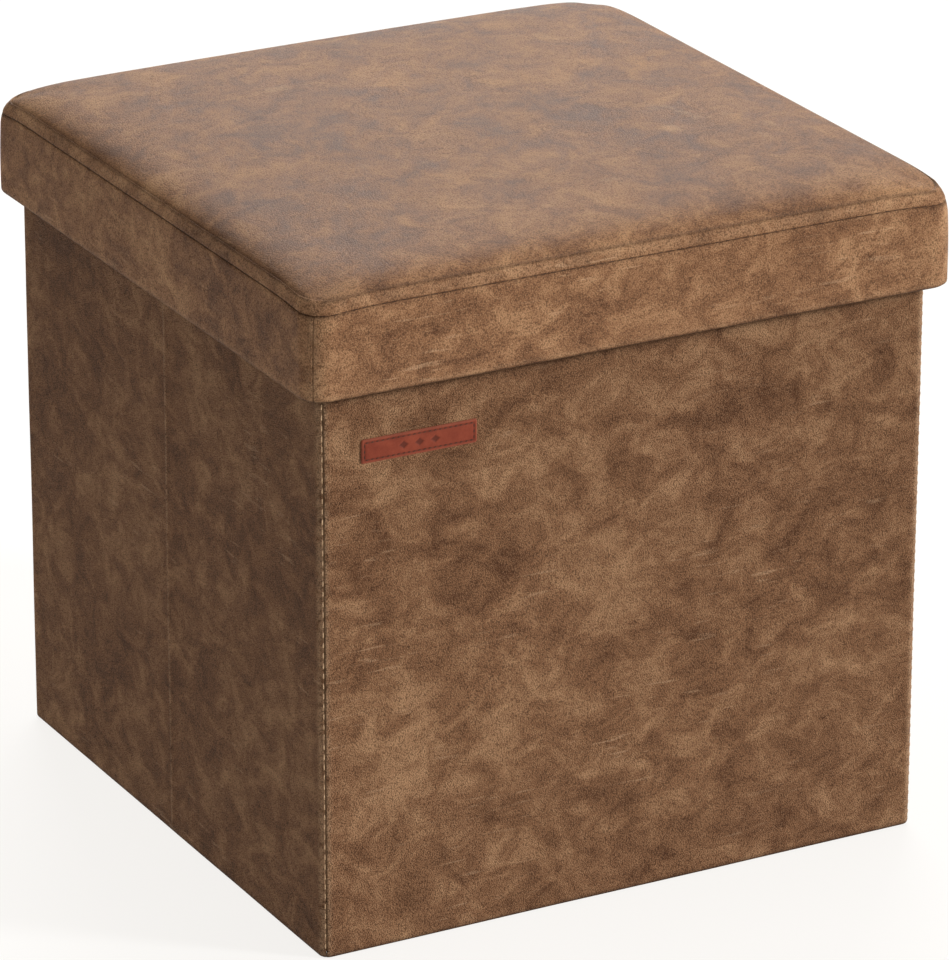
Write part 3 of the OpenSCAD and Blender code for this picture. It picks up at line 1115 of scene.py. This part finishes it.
def lid_wear_and_highlight(x, y, z):
    """Rubbed bottom edge and corners of the lid, and a lighter shoulder band that is partly rubbing and
    partly painted highlight where the rounding faces up.
    """
    # Partly rubbing and partly a painted highlight on the shoulder, where the rounding faces up.
    shoulder = 0.3 * bell(z - (TOP_SEAM_Z - 3 * MM), 3 * MM)
    bottom = 0.3 * bell(z - (SKIRT_Z + 3.0 * MM), 1.0 * MM)
    corner = 0.5 * bell(corner_distance(x, y, LID_SIDE, LID_R), 4 * MM)
    if z > TOP_SEAM_Z + 1 * MM:
        corner *= 0.3
    return max(shoulder, bottom, corner)


def lid_painted_shade(x, y, z):
    """Painted shade where the leather dips into its seams and stitched line, and along the skirt's bottom
    edge.
    """
    height = z + CORNER_DROOP * droop(x, y)
    stitched = 0.55 * bell(height - STITCH_Z, 0.4 * MM)
    reach = max(abs(x), abs(y))
    near = bell(height - (TOP_SEAM_Z - 0.4 * MM), 0.5 * MM)
    seam = 0.45 * near if reach > TOP_SEAM_HALF - 3 * MM else 0.0
    # Painted shade along the skirt's bottom edge.
    under = 0.85 * bell(max(0.0, z - SKIRT_Z), 1.5 * MM)
    return max(stitched, seam, under)


def skirt_panel(name, turns):
    """One side of the lid's skirt, sewn to its neighbours at the corners."""
    quarter = quarter_length(LID_SIDE, LID_R)
    ends = quarter / 2
    straight = LID_SIDE - 20 * MM

    def point(along, row):
        half, radius, z = row
        share = turns + along / quarter
        tuck = roll(along + ends, 0.7 * MM)
        lap = 0.5 * roll(ends - along, 0.5 * MM) - 0.2 * MM * bell(ends - along, 2.0 * MM)
        below = min(1.0, max(0.0, (STITCH_Z - 0.5 * MM - z) / (2 * MM)))
        if half < LID_SIDE - 2.4 * MM:
            below = 0.0
        x, y, _ = lid_ring_point(share, half, radius, z)
        inset = below * (tuck + lap) + lid_ripple(x, y, z)
        return lid_ring_point(share, half, radius, z, inset)

    places = stations(-ends, ends, [(-ends, -straight), (straight, ends)], 0.4 * MM, 5.0 * MM, 0.2)
    piece = shell(name + "_leather", grid(places, skirt_rows(), point), SKIN_T, LID_LEATHER, flip=True)
    finish_piece(piece, sharp=50.0, wear_and_highlight=lid_wear_and_highlight, painted_shade=lid_painted_shade)
    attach(piece, "lid")
    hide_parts(name)
    lid_stitches(name + "_stitches", turns)


def lid_stitches(name, turns):
    """Dark row in the stitched line round the lid."""
    half, radius = LID_SIDE - 0.95 * MM - GROOVE, 15 * MM
    quarter = quarter_length(half, radius)
    reach = quarter / 2 - 2 * MM
    places = []
    for along in centres(reach, int(2 * reach / STITCH_PITCH)):
        share = turns + along / quarter
        x, y, z = lid_ring_point(share, half, radius, STITCH_Z)
        _, out = outline(half, radius, share * quarter)
        inset = lid_ripple(x, y, z)
        place = (x - out[0] * inset, y - out[1] * inset, z)
        places.append((place, (-out[1], out[0], 0), (*out, 0)))
    row = stitch_row(name, places, DARK_THREAD, length=4.2 * MM, radius=0.24 * MM)
    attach(row, "lid")


SEAT_CELLS = 72


def crown_share(inset):
    """Height of the top above its seam, as a share of the crown, at a distance in from its side."""
    steep, gentle = 8.0 * MM, 50.0 * MM
    return 1.0 - 0.55 * np.exp(-inset / steep) - 0.45 * np.exp(-inset / gentle)


def seat_plan():
    """Square grid of places on the seat's rounded outline: across, along, and height share."""
    axis = np.linspace(-1.0, 1.0, SEAT_CELLS + 1)
    axis = np.sign(axis) * (1 - (1 - np.abs(axis)) ** 1.3)
    u, v = np.meshgrid(axis, axis, indexing="ij")
    reach = np.maximum(np.maximum(np.abs(u), np.abs(v)), 1e-9)
    edge_x, edge_y = u / reach * TOP_SEAM_HALF, v / reach * TOP_SEAM_HALF
    rounded = np.vectorize(round_corner, otypes=[float, float])
    round_x, round_y = rounded(edge_x, edge_y, TOP_SEAM_HALF, TOP_SEAM_HALF, TOP_SEAM_R)
    pull = reach ** 8
    x = u * TOP_SEAM_HALF + (round_x - edge_x) * pull
    y = v * TOP_SEAM_HALF + (round_y - edge_y) * pull
    share = crown_share(TOP_SEAM_HALF * (1 - np.abs(u))) * crown_share(TOP_SEAM_HALF * (1 - np.abs(v)))
    return x, y, share / share.max()


def seat_points(x, y, share, crown):
    """Places of the seat's surface: its rim dips into the seam, and its corners hang a little."""
    rim = np.exp(-(share / 0.03) ** 2)
    fall = np.vectorize(droop)(x, y) * CORNER_DROOP
    z = TOP_SEAM_Z + share * crown - fall - 0.6 * MM * rim
    shrink = 1 - 0.6 * MM * rim / TOP_SEAM_HALF
    return np.stack([x * shrink, y * shrink, z], axis=2)


def inflate(points):
    """Presses the seat's leather up from inside with its rim held, and returns the new places."""
    rows, columns = points.shape[:2]
    work = new_piece("seat_work", points.reshape(-1, 3), face_grid(rows, columns), LID_LEATHER)
    held = work.vertex_groups.new(name="held")
    numbers = np.arange(rows * columns).reshape(rows, columns)
    rim = set(numbers.ravel().tolist()) - set(numbers[1:-1, 1:-1].ravel().tolist())
    held.add(sorted(rim), 1.0, "REPLACE")
    cloth = work.modifiers.new("cloth", "CLOTH")
    settings = dict(vertex_group_mass="held", quality=6, mass=0.4, bending_stiffness=4.0)
    settings.update(tension_stiffness=30.0, compression_stiffness=30.0)
    settings.update(use_pressure=True, uniform_pressure_force=4.0)
    for key, value in settings.items():
        setattr(cloth.settings, key, value)
    cloth.settings.effector_weights.gravity = 0.0
    scene = bpy.context.scene
    for number in range(1, 21):
        scene.frame_set(number)
    apply_modifiers(work)
    co = np.zeros(points.size)
    work.data.vertices.foreach_get("co", co)
    scene.frame_set(1)
    bpy.data.objects.remove(work)
    return co.reshape(points.shape)


def seat_surface():
    """Grid of points of the seat's leather, swollen a little by its padding."""
    x, y, share = seat_plan()
    crown = CROWN_Z - TOP_SEAM_Z - 0.6 * MM
    points = seat_points(x, y, share, crown)
    swell_cap = 1.0 * MM
    start = seat_points(x, y, share, crown * 0.9)
    swell = inflate(start) - start
    points += swell * min(1.0, swell_cap / np.abs(swell).max())
    for row in points:
        for p in row:
            from_rim = TOP_SEAM_HALF - max(abs(p[0]), abs(p[1]))
            settle = min(1.0, max(0.0, from_rim - 2 * MM) / (30 * MM))
            p[2] += settle * (wave(p[0], p[1], 0.5, 9.0, 0.6 * MM) + wave(p[1], p[0], 0.9, 24.0, 0.2 * MM))
    return points


def seat():
    """Leather top over its foam."""
    points = seat_surface()
    top = shell("lid_seat_leather", points, 1.0 * MM, SEAT_LEATHER)
    smooth = top.modifiers.new("smooth", "SUBSURF")
    smooth.levels = smooth.render_levels = 1
    apply_modifiers(top)
    finish_piece(top, sharp=70.0, wear_and_highlight=lid_wear_and_highlight, painted_shade=lid_painted_shade)
    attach(top, "lid")
    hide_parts("lid_top_cover")
    pad(points)


def pad(points):
    """Foam under the seat's leather, pulled in a little between its corners."""
    low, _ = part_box("lid_foam")
    inset = 1.4 * MM
    upper = points.copy()
    upper[:, :, 2] -= 1.5 * MM
    upper[:, :, :2] *= 1 - 0.8 * MM / TOP_SEAM_HALF
    plan = np.abs(upper[:, :, :2]) / TOP_SEAM_HALF
    side, reach = plan.min(axis=2), plan.max(axis=2)
    pull = 1 - (inset * (1 - side ** 2) * reach ** 6) / TOP_SEAM_HALF
    upper[:, :, :2] *= pull[:, :, None]
    lower = upper.copy()
    lower[:, :, 2] = low.z + 0.05 * MM
    rows, columns = upper.shape[:2]
    faces = face_grid(rows, columns) + face_grid(rows, columns, rows * columns, True)
    places = np.concatenate([upper.reshape(-1, 3), lower.reshape(-1, 3)])
    piece = new_piece("lid_foam_pad", places, faces + rim_faces(rows, columns), FOAM)
    finish_piece(piece, sharp=50.0)
    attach(piece, "lid")
    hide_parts("lid_foam")


def apply_modifiers(piece):
    evaluated = piece.evaluated_get(bpy.context.evaluated_depsgraph_get())
    made = bpy.data.meshes.new_from_object(evaluated)
    old = piece.data
    piece.modifiers.clear()
    piece.data = made
    bpy.data.meshes.remove(old)


def lid_cap_lining():
    """Lining cloth inside the lid: under its board and down its sides to the turned-up leather."""
    under = (lid_board_low.z + TOP) / 2
    curl = 3 * MM
    rows = [(LID_INNER * share, under) for share in spread(0.02, 0.98, 25)]
    rows += arc(LID_INNER - curl, under - curl, curl, 0, 90, 3)
    rows += [(LID_INNER, z) for z in spread(under - curl, LID_LIP_Z, 8)[1:]]
    around = 4 * 48
    rings = []
    for half, z in rows:
        radius = min(LINING_R, half * 0.6)
        full = 4 * quarter_length(half, radius)
        ring = [(*outline(half, radius, full * k / around)[0], z) for k in range(around)]
        rings.append([(*place[:2], z - abs(wave(*place, 20, 0.15 * MM))) for place in ring])
    piece = cup("lid_lining_cloth", rings, 0.45 * MM, LINING)
    finish_piece(piece)
    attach(piece, "lid")
    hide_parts("lid_lining")


def cup(name, rings, thickness, material):
    """A closed sheet made of rings round an axis, its first ring filled in."""
    inner = np.array(rings, float)
    count, around = inner.size // 3, inner.shape[1]
    tangent = np.roll(inner, -1, axis=1) - np.roll(inner, 1, axis=1)
    back = inner + unit(np.cross(np.gradient(inner, axis=0), tangent)) * thickness
    points = np.concatenate([inner.reshape(-1, 3), back.reshape(-1, 3)])
    faces = []
    last = count - around
    for i in range(0, last, around):
        for j in range(around):
            a, b = i + j, i + (j + 1) % around
            faces.append((a, a + around, b + around, b))
            faces.append((a + count, b + count, b + around + count, a + around + count))
    for j in range(around):
        a, b = last + j, last + (j + 1) % around
        faces.append((a, a + count, b + count, b))
    faces.append(tuple(range(around)))
    faces.append(tuple(count + j for j in range(around - 1, -1, -1)))
    return new_piece(name, points, faces, material)


# ---- boards and staples of the lid ----

RIM_HALF = LID_SIDE - 2.7 * MM  # outer face of the rim boards, behind the leather
RIM_R = 18.0 * MM
RIM_TOP = STITCH_Z - 0.6 * MM


def rim_board(name, turns):
    """One side of the wooden rim inside the lid's skirt, with eased edges."""
    low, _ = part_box(name)
    depth, ease, gap = RIM_HALF - lid_board_high.x - 0.05 * MM, 0.5 * MM, 0.05 * MM
    quarter = quarter_length(RIM_HALF, RIM_R)
    middle = turns * quarter
    bends = [(middle - quarter, middle - RIM_HALF + RIM_R), (middle + RIM_HALF - RIM_R, middle + quarter)]
    start, stop = middle - quarter / 2 + gap, middle + quarter / 2 - gap
    bottom, top = low.z + 0.2 * MM, RIM_TOP
    ring = [(0, bottom + ease), (0, top - ease), (ease, top), (depth - ease, top)]
    ring += [(depth, top - ease), (depth, bottom + ease), (depth - ease, bottom), (ease, bottom)]
    sections = []
    for length in stations(start, stop, bends, 1.5 * MM, 12.0 * MM):
        (x, y), (out_x, out_y) = outline(RIM_HALF, RIM_R, length)
        sections.append([(x - out_x * inset, y - out_y * inset, z) for inset, z in ring])
    piece = bars(name + "_eased", [sections], WALL_BOARD)
    finish_piece(piece, sharp=30.0)
    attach(piece, "lid")
    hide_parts(name)


def lid_top_board():
    """The lid's flat board, its corners sawn round so that the leather lies smoothly over them."""
    radius, ease = 12.0 * MM, 0.6 * MM
    half = lid_board_high.x
    low, high = lid_board_low.z + 0.1 * MM, RIM_TOP + 1.4 * MM
    sections = []
    for inset, z in ((ease, low), (0, low + ease), (0, high - ease), (ease, high)):
        full = 4 * quarter_length(half - inset, radius)
        ring = [outline(half - inset, radius, full * k / 192)[0] for k in range(192)]
        sections.append([(x, y, z) for x, y in ring])
    piece = bars("lid_board_eased", [sections], WALL_BOARD)
    finish_piece(piece, sharp=30.0)
    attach(piece, "lid")
    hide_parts("lid_board")


def staple(path, along, turns, z):
    """Rings of wire along a staple's path, on one side of the lid."""
    wire = 0.4 * MM
    rings = []
    for k, (x, inset) in enumerate(path):
        before, after = path[max(0, k - 1)], path[min(len(path) - 1, k + 1)]
        run = Vector((after[0] - before[0], after[1] - before[1])).normalized()
        ring = []
        for side, up in arc(0, 0, wire, 90, -225, 7):
            place = (along + x - run.y * side, inset + run.x * side - RIM_HALF)
            ring.append((*turned(*place, turns), z + up))
        rings.append(ring)
    return rings


def staples():
    """Wire staples through the rim boards into the edge of the lid's board."""
    low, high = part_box("lid_staples")
    half, leg, per_side = 5 * MM, 8 * MM, 5
    reach = lid_board_high.x - 30 * MM
    path = [(-half, leg), (-half, 1.0 * MM), (0.3 * MM - half, 0.3 * MM), (1.0 * MM - half, 0)]
    path += [(-x, inset) for x, inset in reversed(path)]
    many = []
    for turns in range(4):
        for along in spread(-reach, reach, per_side - 1):
            many.append(staple(path, along, turns, (low.z + high.z) / 2))
    piece = bars("lid_staple_wires", many, STEEL)
    finish_piece(piece, sharp=50.0)
    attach(piece, "lid")
    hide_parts("lid_staples")


# ---- CAD nodes that show as they are ----

def finish_boards():
    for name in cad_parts:
        if name.endswith("_board") and not name.startswith(("base", "lid")):
            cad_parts[name].material_slots[0].material = WALL_BOARD


# ---- the whole ----

make_camera()
make_lights()
make_floor()
bpy.context.scene.view_settings.view_transform = "Standard"

end_wall("front", 0)
end_wall("back", 2)
for body, turns, sign in SIDE_HALVES:
    side_half(body, turns, sign)

for name, quarters, side, bodies in CORNERS:
    corner_web(name + "_corner", quarters, side)
crease_strip("left_crease", -QUARTER)
crease_strip("right_crease", QUARTER)

for name, quarters, _, bodies in CORNERS:
    seam_stitches(name + "_seam_stitches", quarters * QUARTER - SEAM_AT, bodies[0])

label_patch()
patch_stitches()

lining_panel("front", 0, -INNER, INNER)
lining_panel("back", 2, -INNER, INNER)
for body, turns, sign in SIDE_HALVES:
    lining_panel(body, turns, *sorted((sign * SIDE_GAP, sign * SIDE_END)))

base_panels()
base_sheet()
pull_ribbon()

for turns, side in enumerate(("front", "right", "back", "left")):
    skirt_panel("lid_skirt_" + side, turns)
    rim_board("lid_rim_" + side, turns)
lid_top_board()
staples()
seat()
lid_cap_lining()
finish_boards()
